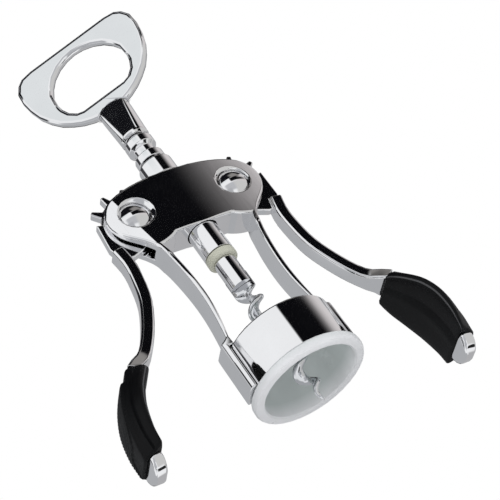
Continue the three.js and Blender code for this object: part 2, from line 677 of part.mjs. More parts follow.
// Hub with pinion teeth, and the elbow from which the arm leaves
function hubShape() {
  const back = new THREE.Vector2(SHOULDER, PINION_TIP * hubShares.shoulder);
  const points = [back, fromDown(PINION_ROOT, HUB_TOP)];
  const root = THREE.MathUtils.radToDeg(TOOTH_ROOT / PINION_ROOT);
  const tip = THREE.MathUtils.radToDeg(TOOTH_TIP / PINION_TIP);
  for (let tooth = 0; tooth < TOOTH_COUNT; tooth++) {
    const middle = TOOTH_FIRST + tooth * TOOTH_STEP;
    points.push(fromDown(PINION_ROOT, middle - root), fromDown(PINION_TIP, middle - tip));
    points.push(fromDown(PINION_TIP, middle + tip), fromDown(PINION_ROOT, middle + root));
  }
  points.push(...HUB_REST.map((angle) => fromDown(PINION_ROOT, angle)));
  points.push(...elbowShares.map(([radius, angle]) => fromDown(PINION_TIP * radius, angle)));
  points.push(new THREE.Vector2(SHOULDER - ARM_HALF_WIDTH, -PINION_TIP));
  points.push(new THREE.Vector2(SHOULDER, -PINION_TIP * hubShares.heel));
  return new THREE.Shape(points);
}

// Arm with bevelled edges, deeper where it enters the grip
function arm() {
  const corner = (here, other, half) =>
    Math.sign(here) * (Math.abs(here) > Math.abs(other) ? half : half - ARM_BEVEL);
  const gap = CLEARANCE / 2 / wingLine.getLength();
  return loft(ARM_SIDES, ARM_STEPS, (t, across, through) => {
    const side = corner(across, through, ARM_HALF_WIDTH);
    const flare = ARM_FLARE * Math.max(0, (t - flareShare) / (1 - flareShare)) ** 2;
    const share = Math.max(0, t * (gripStart(side * t) - gap));
    return beside(share, side, corner(through, across, ARM_HALF_DEPTH + flare));
  });
}

// Flat core of the lever inside its grip, larger all round by some room
function tang(room) {
  const half = TANG_HALF_WIDTH + room;
  const from = gripShares.start - insideShare;
  const length = gripShares.end - gripShares.start + 2 * insideShare;
  const edge = (side) => Array.from({ length: ARM_STEPS }, (_, i) => {
    const place = beside(from + (length * i) / (ARM_STEPS - 1), side, 0);
    return new THREE.Vector2(place.x, place.z);
  });
  return prismY(new THREE.Shape([...edge(half), ...edge(-half).reverse()]), TANG_HALF_DEPTH + room);
}

// Rounds a circle's coordinate out towards a square
const squared = (v) => Math.sign(v) * Math.abs(v) ** squareShare;

// Bare end of the lever beyond the grip: a tongue with a half-round end
function tip() {
  const gap = CLEARANCE / 2 / wingLine.getLength();
  return loft(TIP_SIDES, TIP_STEPS, (t, across, through) => {
    const turn = (t * Math.PI) / 2;
    const narrow = Math.cos(turn * tipShares.end);
    const side = squared(across) * TIP_HALF_WIDTH * narrow ** tipShares.thin;
    const start = gripEnd(side) + gap;
    return beside(start + (1 - start) * Math.sin(turn), side, squared(through) * TIP_HALF_DEPTH * narrow);
  });
}

function lever() {
  const bore = prismY(circle(PIN_RADIUS + CLEARANCE), HUB_HALF + OVERRUN);
  return prismY(hubShape(), HUB_HALF).subtract(bore).add(arm()).add(tang(0)).add(tip());
}

// Rubber grip: a wedge that is wider on the inside, where it bulges
function grip() {
  const body = loft(GRIP_SIDES, GRIP_STEPS, (t, across, through) => {
    const outward = squared(across);
    const belly = GRIP_EDGE + blend(GRIP_BELLY, t) * (1 - through ** 2);
    const side = outward * (across > 0 ? blend(GRIP_OUTSIDE, t) : belly);
    const deep = blend(GRIP_HALF_DEPTH, t) * (1 - gripShares.taper * outward);
    return beside(gripStart(side) * (1 - t) + gripEnd(side) * t, side, squared(through) * deep);
  });
  return body.subtract(tang(CLEARANCE));
}

function wing(name, side) {
  const group = new THREE.Group();
  const mirror = (body) => (side > 0 ? body : body.mirror([1, 0, 0]));
  group.add(mesh(`${name}_lever`, mirror(lever()), materials.chrome));
  group.add(mesh(`${name}_grip`, mirror(grip()), materials.rubber));
  group.position.set(side * PIVOT_SPREAD, 0, PIVOT_HEIGHT);
  group.rotation.y = THREE.MathUtils.degToRad((1 - side) * BACKLASH);
  return group;
}

// Pivot pin with a domed head in each face of the housing
function pin(name, side) {
  const seat = HOUSING_FACE - COUNTERBORE + CLEARANCE / 3;
  const edge = seat + PIN_HEAD_EDGE;
  const dome = new THREE.EllipseCurve(0, edge, PIN_HEAD_RADIUS, PIN_DOME, 0, Math.PI / 2);
  const rim = dome.getPoints(DOME_STEPS).slice(0, -1).map((p) => [p.x, p.y]);
  const back = [[PIN_RADIUS, seat], [PIN_HEAD_RADIUS, seat], ...rim];
  back.push([0, edge + PIN_DOME]);
  const front = back.slice().reverse().map(([radius, depth]) => [radius, -depth]);
  return mesh(name, turnedY([...front, ...back], side * PIVOT_SPREAD, PIVOT_HEIGHT), materials.chrome);
}

// Washer in the gap on one side of a hub
function washer(name, side, face) {
  const near = HUB_HALF + (SLOT_HALF - HUB_HALF - WASHER_THICKNESS) / 2;
  const far = near + WASHER_THICKNESS;
  const bore = PIN_RADIUS + CLEARANCE;
  const profile = [[bore, near], [WASHER_RADIUS, near], [WASHER_RADIUS, far], [bore, far], [bore, near]];
  const placed = profile.map(([radius, depth]) => [radius, face * depth]);
  return mesh(name, turnedY(placed, side * PIVOT_SPREAD, PIVOT_HEIGHT), materials.nylon);
}

const corkscrew = new THREE.Group();
corkscrew.add(frame(), ...bell(), collar(), sleeve(), lowerBush());
const screw = new THREE.Group();
screw.rotation.z = THREE.MathUtils.degToRad(HANDLE_TURN);
screw.add(rod(), socket(), worm(), handle());
corkscrew.add(screw);
for (const [name, side] of [['left', -1], ['right', 1]]) {
  corkscrew.add(wing(name, side), pin(`${name}_pivot_pin`, side));
  corkscrew.add(washer(`${name}_front_washer`, side, -1), washer(`${name}_back_washer`, side, 1));
}

export default corkscrew;
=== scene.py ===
"""Wing corkscrew: materials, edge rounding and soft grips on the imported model, with a pale studio."""
import bisect
import math

import bmesh
import bpy
from mathutils import Matrix, Vector

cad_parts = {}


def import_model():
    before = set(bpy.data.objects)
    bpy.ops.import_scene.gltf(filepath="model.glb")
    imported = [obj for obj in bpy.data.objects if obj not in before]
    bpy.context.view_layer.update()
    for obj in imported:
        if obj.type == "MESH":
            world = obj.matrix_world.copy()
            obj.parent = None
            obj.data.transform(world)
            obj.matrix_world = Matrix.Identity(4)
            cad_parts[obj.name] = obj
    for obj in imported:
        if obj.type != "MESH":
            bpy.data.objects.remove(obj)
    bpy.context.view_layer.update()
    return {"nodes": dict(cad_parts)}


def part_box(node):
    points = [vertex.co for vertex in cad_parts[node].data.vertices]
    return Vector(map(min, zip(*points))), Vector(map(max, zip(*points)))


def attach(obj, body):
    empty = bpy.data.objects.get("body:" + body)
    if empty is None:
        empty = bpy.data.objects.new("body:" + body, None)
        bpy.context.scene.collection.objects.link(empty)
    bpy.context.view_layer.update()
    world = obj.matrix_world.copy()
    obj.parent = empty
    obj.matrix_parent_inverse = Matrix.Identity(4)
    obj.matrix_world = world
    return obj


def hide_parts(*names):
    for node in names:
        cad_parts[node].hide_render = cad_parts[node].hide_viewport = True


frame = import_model()

# Camera of the photograph: place, axes and focal length in pixels of a 500 pixel frame
CAMERA_PLACE = Vector((-0.2306, -0.4194, -0.2321))
CAMERA_LOOK = Vector((0.42855, 0.74419, 0.51237))
CAMERA_RIGHT = Vector((0.84849, -0.13659, -0.51129))
CAMERA_FOCAL = 1649.1
FRAME_PIXELS = 500
SENSOR_WIDTH = 36
NEAREST = 0.01
FARTHEST = 20

# Right wing's pivot
PIVOT = Vector((0.0197, 0, 0.0836))


# Where the ramps over noise start and end, and the noise in the materials: scales per metre, depths in metres
NOISE_LOW, NOISE_HIGH = 0.3, 0.7
SMUDGE_SCALE = 60
WAVE_SCALE = 180
WAVE_DEPTH = 0.0004
CLOUD_SCALE = 90
GRAIN_DEPTH = 0.0002


# Node helpers

def new_tree(name):
    material = bpy.data.materials.new(name)
    material.use_nodes = True
    tree = material.node_tree
    tree.nodes.clear()
    output = tree.nodes.new("ShaderNodeOutputMaterial")
    shader = tree.nodes.new("ShaderNodeBsdfPrincipled")
    tree.links.new(shader.outputs["BSDF"], output.inputs["Surface"])
    return material, tree, shader


def noise(tree, scale, detail, rough=0.5, stretch=(1, 1, 1)):
    coords = tree.nodes.new("ShaderNodeTexCoord")
    mapping = tree.nodes.new("ShaderNodeMapping")
    mapping.inputs["Scale"].default_value = stretch
    texture = tree.nodes.new("ShaderNodeTexNoise")
    texture.inputs["Scale"].default_value = scale
    texture.inputs["Detail"].default_value = detail
    texture.inputs["Roughness"].default_value = rough
    tree.links.new(coords.outputs["Object"], mapping.inputs["Vector"])
    tree.links.new(mapping.outputs["Vector"], texture.inputs["Vector"])
    return texture.outputs["Fac"]


def ramp(tree, value, dark, light):
    """Colour between dark and light over noise."""
    node = tree.nodes.new("ShaderNodeValToRGB")
    start, end = node.color_ramp.elements
    start.position = NOISE_LOW
    start.color = (*dark, 1)
    end.position = NOISE_HIGH
    end.color = (*light, 1)
    tree.links.new(value, node.inputs["Fac"])
    return node.outputs["Color"]


def span(tree, value, low, high, from_low=NOISE_LOW, from_high=NOISE_HIGH, kind="LINEAR"):
    node = tree.nodes.new("ShaderNodeMapRange")
    node.interpolation_type = kind
    node.inputs["From Min"].default_value = from_low
    node.inputs["From Max"].default_value = from_high
    node.inputs["To Min"].default_value = low
    node.inputs["To Max"].default_value = high
    tree.links.new(value, node.inputs["Value"])
    return node.outputs["Result"]


def bump(tree, shader, height, strength, distance):
    node = tree.nodes.new("ShaderNodeBump")
    node.inputs["Strength"].default_value = strength
    node.inputs["Distance"].default_value = distance
    tree.links.new(height, node.inputs["Height"])
    if shader.inputs["Normal"].is_linked:
        tree.links.new(shader.inputs["Normal"].links[0].from_socket, node.inputs["Normal"])
    tree.links.new(node.outputs["Normal"], shader.inputs["Normal"])


def maths(tree, operation, *values):
    node = tree.nodes.new("ShaderNodeMath")
    node.operation = operation
    for socket, value in zip(node.inputs, values):
        if isinstance(value, (int, float)):
            socket.default_value = value
        else:
            tree.links.new(value, socket)
    return node.outputs["Value"]


def place_in(tree):
    """X, Y and Z of a point in the part's frame."""
    coords = tree.nodes.new("ShaderNodeTexCoord")
    split = tree.nodes.new("ShaderNodeSeparateXYZ")
    tree.links.new(coords.outputs["Object"], split.inputs["Vector"])
    return split.outputs["X"], split.outputs["Y"], split.outputs["Z"]


# Materials

def metal(name, dark, light, rough_low, rough_high, wave, stretch=(1, 1, 1)):
    material, tree, shader = new_tree(name)
    shader.inputs["Metallic"].default_value = 1
    smudge = noise(tree, SMUDGE_SCALE, 4, 0.6, stretch)
    tree.links.new(ramp(tree, smudge, dark, light), shader.inputs["Base Color"])
    tree.links.new(span(tree, smudge, rough_low, rough_high), shader.inputs["Roughness"])
    bump(tree, shader, noise(tree, WAVE_SCALE, 2, 0.4, stretch), wave, WAVE_DEPTH)
    return material


def plastic(name, dark, light, rough_low, rough_high, grain, depth, shine=0.5):
    material, tree, shader = new_tree(name)
    cloud = noise(tree, CLOUD_SCALE, 4, 0.6)
    tree.links.new(ramp(tree, cloud, dark, light), shader.inputs["Base Color"])
    tree.links.new(span(tree, cloud, rough_low, rough_high), shader.inputs["Roughness"])
    shader.inputs["Specular IOR Level"].default_value = shine
    bump(tree, shader, noise(tree, grain, 3, 0.6), depth, GRAIN_DEPTH)
    return material


def shader_of(material):
    return next(node for node in material.node_tree.nodes if node.type == "BSDF_PRINCIPLED")


def crown(material):
    """Rolls the housing's left end back beyond a slanted line and crowns the plate to the right."""
    tree = material.node_tree
    x, _, z = place_in(tree)
    line = maths(tree, "MULTIPLY_ADD", z, ROLL_SLANT, x)
    fall = maths(tree, "MINIMUM", maths(tree, "SUBTRACT", line, ROLL_EDGE), 0)
    right = maths(tree, "MAXIMUM", maths(tree, "SUBTRACT", x, CROWN_START), 0)
    drop = maths(tree, "MULTIPLY", maths(tree, "MULTIPLY", right, right), -CROWN_SWELL)
    bump(tree, shader_of(material), maths(tree, "MULTIPLY_ADD", fall, ROLL_SLOPE, drop), 1, 1)


def paint_shade_inside(material):
    """Paints shade into the colour, deeper from the rim into the bell."""
    tree = material.node_tree
    base = shader_of(material).inputs["Base Color"]
    rim = base.links[0].from_socket
    z = place_in(tree)[2]
    mix = tree.nodes.new("ShaderNodeMix")
    mix.data_type = "RGBA"
    tree.links.new(span(tree, z, 0, 1, *PAINTED_SHADE_DEPTH), mix.inputs["Factor"])
    tree.links.new(rim, mix.inputs["A"])
    mix.inputs["B"].default_value = (*PAINTED_SHADE_TONE, 1)
    tree.links.new(mix.outputs["Result"], base)


# Housing plate: metres, and slopes as rise over run. The roll starts where x plus slant times z falls
# below the edge
ROLL_EDGE = -0.0058
ROLL_SLANT = 0.1986
ROLL_SLOPE = 0.24
CROWN_START = -0.022
CROWN_SWELL = 1.9

# Painted shade inside the bell: heights above the mouth between which it deepens the colour, and the shaded
# colour
PAINTED_SHADE_DEPTH = (0.0006, 0.006)
PAINTED_SHADE_TONE = (0.52, 0.56, 0.55)

CHROME_TONES = ((0.86, 0.86, 0.87), (0.91, 0.91, 0.92))
POLISHED = (0.03, 0.07)
TURNING_MARKS = (1, 1, 40)

chrome = metal("chrome", *CHROME_TONES, *POLISHED, 0.012)
housing_chrome = metal("housing chrome", *CHROME_TONES, *POLISHED, 0.012)
crown(housing_chrome)
steel = metal("worm steel", (0.70, 0.71, 0.73), (0.80, 0.81, 0.83), *POLISHED, 0.01)
turned = metal("turned steel", (0.50, 0.50, 0.53), (0.64, 0.64, 0.67), 0.18, 0.30, 0.08, TURNING_MARKS)
rubber = plastic("rubber", (0.0022, 0.0022, 0.0026), (0.0042, 0.0045, 0.005), 0.42, 0.54, 1400, 0.25, 0.13)
# Lighter rubber: a painted highlight, put on one row of faces along the grip's inner front edge
rubber_painted_highlight = plastic("rubber painted highlight", (0.035, 0.035, 0.037), (0.05, 0.05, 0.053), 0.34, 0.44, 1400, 0.2)
lip_plastic = plastic("lip plastic", (0.76, 0.76, 0.77), (0.82, 0.82, 0.83), 0.26, 0.36, 500, 0.06)
# Painted shade: the lip plastic turns darker deeper into the bell
paint_shade_inside(lip_plastic)
nylon = plastic("nylon", (0.46, 0.46, 0.37), (0.54, 0.54, 0.45), 0.30, 0.42, 500, 0.02)


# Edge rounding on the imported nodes

SAME_POINT = 0.000005
FLAT_DEGREES = 0.4
SHARP_DEGREES = 32
RING_DEGREES = 25
NORMAL_WEIGHT = 60
BLADE_SWELL = 0.0003
BLADE_LEVELS = 2


def smoothing_group():
    group = bpy.data.node_groups.new("smooth faces", "GeometryNodeTree")
    group.interface.new_socket("Geometry", in_out="INPUT", socket_type="NodeSocketGeometry")
    group.interface.new_socket("Geometry", in_out="OUTPUT", socket_type="NodeSocketGeometry")
    entry = group.nodes.new("NodeGroupInput")
    leave = group.nodes.new("NodeGroupOutput")
    faces = group.nodes.new("GeometryNodeSetShadeSmooth")
    faces.domain = "FACE"
    edges = group.nodes.new("GeometryNodeSetShadeSmooth")
    edges.domain = "EDGE"
    edges.inputs["Shade Smooth"].default_value = False
    angle = group.nodes.new("GeometryNodeInputMeshEdgeAngle")
    wide = group.nodes.new("FunctionNodeCompare")
    wide.data_type = "FLOAT"
    wide.operation = "GREATER_THAN"
    wide.inputs["B"].default_value = math.radians(SHARP_DEGREES)
    group.links.new(entry.outputs[0], faces.inputs["Geometry"])
    group.links.new(faces.outputs["Geometry"], edges.inputs["Geometry"])
    group.links.new(angle.outputs["Unsigned Angle"], wide.inputs["A"])
    group.links.new(wide.outputs["Result"], edges.inputs["Selection"])
    group.links.new(edges.outputs["Geometry"], leave.inputs[0])
    return group


def far(tree, a, b):
    """Length of the two sides together."""
    squares = maths(tree, "ADD", maths(tree, "MULTIPLY", a, a), maths(tree, "MULTIPLY", b, b))
    return maths(tree, "SQRT", squares)


def weighing_group(name, zones):
    """Full bevel on sharp edges, and a share of it on the edges in each zone."""
    group = bpy.data.node_groups.new(name, "GeometryNodeTree")
    group.interface.new_socket("Geometry", in_out="INPUT", socket_type="NodeSocketGeometry")
    group.interface.new_socket("Geometry", in_out="OUTPUT", socket_type="NodeSocketGeometry")
    entry = group.nodes.new("NodeGroupInput")
    leave = group.nodes.new("NodeGroupOutput")
    place = group.nodes.new("GeometryNodeInputPosition")
    split = group.nodes.new("ShaderNodeSeparateXYZ")
    group.links.new(place.outputs["Position"], split.inputs["Vector"])
    x, y, z = split.outputs["X"], split.outputs["Y"], split.outputs["Z"]
    from_pivot = maths(group, "SUBTRACT", maths(group, "ABSOLUTE", x), PIVOT.x)
    above_pivot = maths(group, "SUBTRACT", z, PIVOT.z)
    measures = {
        "shaft": far(group, x, y),
        "pin": far(group, from_pivot, above_pivot),
        "height": z,
        "depth": maths(group, "ABSOLUTE", y),
    }
    angle = group.nodes.new("GeometryNodeInputMeshEdgeAngle")
    weight = maths(group, "GREATER_THAN", angle.outputs["Unsigned Angle"], math.radians(SHARP_DEGREES))
    for measure, limit, share in zones:
        inside = maths(group, "LESS_THAN", measures[measure], limit)
        weight = maths(group, "MULTIPLY", weight, maths(group, "MULTIPLY_ADD", inside, share - 1, 1))
    store = group.nodes.new("GeometryNodeStoreNamedAttribute")
    store.data_type = "FLOAT"
    store.domain = "EDGE"
    store.inputs["Name"].default_value = "bevel_weight_edge"
    group.links.new(entry.outputs[0], store.inputs["Geometry"])
    group.links.new(weight, store.inputs["Value"])
    group.links.new(store.outputs["Geometry"], leave.inputs[0])
    return group


SMOOTH = smoothing_group()
# Measure that is below a limit, the limit, and the share of the rounding there: at the sleeve's hole, around
# the pins, on the legs and in the slots
HOUSING_ZONES = [
    ("shaft", 0.0080, 0.2),
    ("pin", 0.0068, 0.45),
    ("height", 0.066, 0.62),
    ("depth", 0.0031, 0.2),
]
HOUSING_EDGES = weighing_group("housing edges", HOUSING_ZONES)


def polish(name, material, width=0.0, segments=2, angle=SHARP_DEGREES, weights=None):
    """Material, joined corners and smooth shading, with rounded edges where a width is given."""
    piece = frame["nodes"][name]
    piece.data.materials.clear()
    piece.data.materials.append(material)
    weld = piece.modifiers.new("join corners", "WELD")
    weld.merge_threshold = SAME_POINT
    if width:
        flat = piece.modifiers.new("join flat faces", "DECIMATE")
        flat.decimate_type = "DISSOLVE"
        flat.angle_limit = math.radians(FLAT_DEGREES)
        if weights:
            piece.modifiers.new("weigh edges", "NODES").node_group = weights
        edge = piece.modifiers.new("round edges", "BEVEL")
        edge.width = width
        edge.segments = segments
        edge.limit_method = "WEIGHT" if weights else "ANGLE"
        edge.angle_limit = math.radians(angle)
        edge.use_clamp_overlap = False
    smooth = piece.modifiers.new("smooth faces", "NODES")
    smooth.node_group = SMOOTH
    if width:
        weight = piece.modifiers.new("weigh normals", "WEIGHTED_NORMAL")
        weight.keep_sharp = True
        weight.weight = NORMAL_WEIGHT
    return piece


polish("frame", housing_chrome, 0.00095, 4, weights=HOUSING_EDGES)
polish("bell_shell", chrome, 0.0003, 3)
polish("bell_insert", lip_plastic)
polish("guide_collar", chrome, 0.0002)
polish("rack_sleeve", chrome, 0.0002, 2, RING_DEGREES)
polish("lower_bush", nylon, 0.0003, 3)
polish("spindle_rod", turned)
polish("worm_socket", chrome)
polish("handle", chrome, 0.0008, 4)
for side in ("left", "right"):
    polish(side + "_lever", chrome, 0.00045, 3)
    polish(side + "_front_washer", nylon)
    polish(side + "_back_washer", nylon)

worm = polish("worm", steel)
worm.modifiers.remove(worm.modifiers["smooth faces"])
swell = worm.modifiers.new("keep the width", "DISPLACE")
swell.strength = BLADE_SWELL
swell.mid_level = 0
rounding = worm.modifiers.new("round blade", "SUBSURF")
rounding.levels = BLADE_LEVELS
rounding.render_levels = BLADE_LEVELS
worm.modifiers.new("smooth faces", "NODES").node_group = SMOOTH


# Domed pins, in the place of the plainer ones

DOME_HEIGHT = 0.0020
DOME_DROP = 0.0011  # foot of the dome below the plain pin's end
HEAD_RIM = 0.0005
SHANK_SHARE = 0.57  # of the head's radius
TURN = 96
DOME_RINGS = 16


def lathe(name, profile, middle, material):
    """Turned piece about a line along Y: profile holds radius and place along the line."""
    mesh = bpy.data.meshes.new(name)
    build = bmesh.new()
    rings = []
    for radius, along in profile:
        if radius == 0:
            rings.append([build.verts.new(middle + Vector((0, along, 0)))] * TURN)
            continue
        ring = []
        for k in range(TURN):
            angle = 2 * math.pi * k / TURN
            offset = Vector((radius * math.cos(angle), along, radius * math.sin(angle)))
            ring.append(build.verts.new(middle + offset))
        rings.append(ring)
    for a, b in zip(rings, rings[1:]):
        for k in range(TURN):
            corners = []
            for corner in (a[k - 1], a[k], b[k], b[k - 1]):
                if corner not in corners:
                    corners.append(corner)
            build.faces.new(corners)
    bmesh.ops.recalc_face_normals(build, faces=build.faces)
    for face in build.faces:
        face.smooth = True
    build.to_mesh(mesh)
    build.free()
    piece = bpy.data.objects.new(name, mesh)
    bpy.context.scene.collection.objects.link(piece)
    mesh.materials.append(material)
    piece.modifiers.new("smooth faces", "NODES").node_group = SMOOTH
    return piece


def domed_pin(side):
    low, high = (Vector(corner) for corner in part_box(side + "_pivot_pin"))
    middle = Vector(((low.x + high.x) / 2, 0, (low.z + high.z) / 2))
    radius = (high.x - low.x) / 2
    edge = high.y - DOME_DROP
    ball = (radius ** 2 + DOME_HEIGHT ** 2) / (2 * DOME_HEIGHT)
    slope = math.asin(radius / ball)
    half = [(0, edge + DOME_HEIGHT)]
    for k in range(1, DOME_RINGS + 1):
        angle = slope * k / DOME_RINGS
        half.append((ball * math.sin(angle), edge + DOME_HEIGHT - ball * (1 - math.cos(angle))))
    half += [(radius, edge - HEAD_RIM), (radius * SHANK_SHARE, edge - HEAD_RIM)]
    profile = half + [(r, -y) for r, y in reversed(half)]
    piece = lathe(side + "_domed_pin", profile, middle, chrome)
    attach(piece, "base")
    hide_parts(side + "_pivot_pin")


for side in ("left", "right"):
    domed_pin(side)


# Rubber grips, in the place of the plain ones

LEFT_LEAN = math.radians(4.3)
WING_LENGTH = 0.105
# Right wing's line at rest: sideways and up from its pivot, as shares of the length
WING_SHARES = [(0.105, -0.103), (0.0926, -0.167), (0.0943, -0.238), (0.105, -0.319), (0.129, -0.39),
               (0.164, -0.465), (0.203, -0.522), (0.25, -0.558), (0.29, -0.614), (0.32, -0.668),
               (0.339, -0.733), (0.342, -0.81), (0.3305, -0.882), (0.3275, -0.931)]
# Where the grip starts and ends, as shares of that line, and the slant of both ends
GRIP_START, GRIP_END = 0.569, 0.942
START_SLANT, END_SLANT = 0.25, 0.095
# Section in metres, at points spread evenly from the grip's start to its end. The taper makes it shallower
# on the outside and deeper on the inside, and the two powers make its corners square
OUTSIDE = (0.00314, 0.00198, 0.00339)
BELLY = (0.00204, 0.00219, 0)
INSIDE = 0.00265
HALF_DEPTH = (0.00579, 0.01, 0.01034, 0.00852)
TAPER = 0.3
ROUND_OUTSIDE, ROUND_INSIDE = 0.335, 0.2
# Raised pad with ribs: shares of the grip's length or of its half width, and metres for step, pitch,
# height, foot and length
PAD_START = 0.19
PAD_STEP = 0.0007
RIB_PITCH = 0.0012
RIB_HEIGHT = 0.00022
RIB_FOOT = 0.0002
RIB_STOP = (0.96, 0.99)
RIB_EDGE = -0.95  # where ribs begin, from -1 at the front to 1 at the back
RIB_EDGE_RISE = 1.3  # added to it by the grip's end
RIB_EDGE_TURN = 0.4
RIB_EDGE_SOFT = 0.03
PAD_RAMP = (0.008, 0.012)  # before and after the pad's start
PAD_SIDES = (0.75, 0.93)
GRIP_LENGTH = 0.0353
END_SHRINK = 0.1
END_ROUNDS = (0.02, 0.025)
# From the inside towards the front, where a lighter strip is painted along the edge as a highlight
CREASE_ANGLE = math.radians(45)
RING = 96
RING_SAMPLES = 2400
STATIONS = 150
LINE_STEPS = 24


def wing_line():
    """Dense points of the wing's line and their distances along it, as shares of its length."""
    points = [WING_LENGTH * Vector(pair) for pair in WING_SHARES]
    dense = []
    last = len(points) - 1
    for k in range(last):
        before, a, b, after = points[max(k - 1, 0)], points[k], points[k + 1], points[min(k + 2, last)]
        slope_a, slope_b = (b - before) / 2, (after - a) / 2
        for step in range(LINE_STEPS):
            t = step / LINE_STEPS
            dense.append((2 * a - 2 * b + slope_a + slope_b) * t ** 3
                         + (3 * b - 3 * a - 2 * slope_a - slope_b) * t ** 2 + slope_a * t + a)
    dense.append(points[last])
    lengths = [0.0]
    for a, b in zip(dense, dense[1:]):
        lengths.append(lengths[-1] + (b - a).length)
    return dense, [length / lengths[-1] for length in lengths]


LINE, SHARES = wing_line()


def on_line(share):
    """Place and direction at a share of the wing's line."""
    k = min(max(bisect.bisect_right(SHARES, share) - 1, 0), len(LINE) - 2)
    part = (share - SHARES[k]) / (SHARES[k + 1] - SHARES[k])
    return LINE[k].lerp(LINE[k + 1], part), (LINE[k + 1] - LINE[k]).normalized()


def blend(values, t):
    """Smooth value through values spread evenly from one end to the other."""
    last = len(values) - 1
    total = 0
    for i, value in enumerate(values):
        weight = value
        for j in range(last + 1):
            if j != i:
                weight *= (t * last - j) / (i - j)
        total += weight
    return total


def step_up(low, high, value):
    t = min(max((value - low) / (high - low), 0), 1)
    return t * t * (3 - 2 * t)


def section(t, angle):
    """Distance from the wing's line and from the middle plane of a point of the grip's section."""
    across, through = math.cos(angle), math.sin(angle)
    power = ROUND_OUTSIDE if across > 0 else ROUND_INSIDE
    outward = math.copysign(abs(across) ** power, across)
    deep = math.copysign(abs(through) ** power, through) * blend(HALF_DEPTH, t) * (1 - TAPER * outward)
    if across <= 0:
        return outward * (INSIDE + blend(BELLY, t) * (1 - through ** 2)), deep
    edge = RIB_EDGE + RIB_EDGE_RISE * step_up(RIB_EDGE_TURN, 1, t)
    raised = step_up(PAD_START - PAD_RAMP[0], PAD_START + PAD_RAMP[1], t)
    pad = raised * step_up(*PAD_SIDES, outward)
    beyond = step_up(edge - RIB_EDGE_SOFT, edge + RIB_EDGE_SOFT, through)
    ribbed = beyond * pad * (1 - step_up(*RIB_STOP, t))
    wave = 0.5 + 0.5 * math.cos(2 * math.pi * t * GRIP_LENGTH / RIB_PITCH)
    lift = pad * PAD_STEP - PAD_STEP / 2 + ribbed * (RIB_FOOT + wave * RIB_HEIGHT)
    return outward * (blend(OUTSIDE, t) + lift), deep


def ring_angles():
    """Angles spread so that points lie evenly around the section halfway down."""
    turns = [2 * math.pi * (i + 0.5) / RING_SAMPLES for i in range(RING_SAMPLES + 1)]
    dense = [Vector(section(0.5, turn)) for turn in turns]
    lengths = [0.0]
    for a, b in zip(dense, dense[1:]):
        lengths.append(lengths[-1] + (b - a).length)
    angles = []
    for k in range(RING):
        angles.append(turns[bisect.bisect_left(lengths, lengths[-1] * k / RING)])
    return angles


def side_name(side):
    return "left" if side < 0 else "right"


def grip(name, side, body):
    """Grip along the wing's line, closed at both ends, with a painted highlight along one edge."""
    mesh = bpy.data.meshes.new(name)
    build = bmesh.new()
    angles = ring_angles()
    lean = Matrix.Rotation(LEFT_LEAN if side < 0 else 0, 3, "Y")
    pivot = Vector((side * PIVOT.x, 0, PIVOT.z))
    rings = []
    for k in range(STATIONS + 1):
        t = k / STATIONS
        full = step_up(0, END_ROUNDS[0], t) * step_up(0, END_ROUNDS[1], 1 - t)
        lip = 1 - END_SHRINK * (1 - math.sqrt(full))
        ring = []
        for angle in angles:
            across, deep = section(t, angle)
            across, deep = across * lip, deep * lip
            share = ((GRIP_START + START_SLANT * across / WING_LENGTH) * (1 - t)
                     + (GRIP_END + END_SLANT * across / WING_LENGTH) * t)
            place, along = on_line(share)
            point = Vector((side * (place.x - along.y * across), deep, place.y + along.x * across))
            ring.append(build.verts.new(lean @ point + pivot))
        rings.append(ring)
    # Faces along this corner get the lighter rubber, a painted highlight along the edge
    corner = min(range(RING), key=lambda k: abs(angles[k] - (math.pi + CREASE_ANGLE)))
    for a, b in zip(rings, rings[1:]):
        for k in range(RING):
            face = build.faces.new((a[k - 1], a[k], b[k], b[k - 1]))
            face.material_index = 1 if k == corner else 0
    for ring in (rings[0], rings[-1]):
        build.faces.new(ring)
    bmesh.ops.recalc_face_normals(build, faces=build.faces)
    for face in build.faces:
        face.smooth = len(face.verts) == 4  # the closed ends stay flat
    build.to_mesh(mesh)
    build.free()
    piece = bpy.data.objects.new(name, mesh)
    bpy.context.scene.collection.objects.link(piece)
    mesh.materials.append(rubber)
    mesh.materials.append(rubber_painted_highlight)
    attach(piece, body)
    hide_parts(side_name(side) + "_grip")


for side in (-1, 1):
    grip(side_name(side) + "_soft_grip", side, side_name(side) + "_wing")


# Stage

SOFT_TONE = (0.95, 0.97, 1)
SOFT_STRENGTH = 0.72
LAMP_AIM = Vector((0, 0, 0.08))
FLOOR_RADIUS = 1.6
FLOOR_SIDES = 96
FLOOR_HEIGHT = -0.0085
FLOOR_ROUGHNESS = 0.9
FLOOR_FADE = (0.5, 1.5)
FLOOR_TONES = ((0.88, 0.88, 0.88), (0.90, 0.90, 0.90))


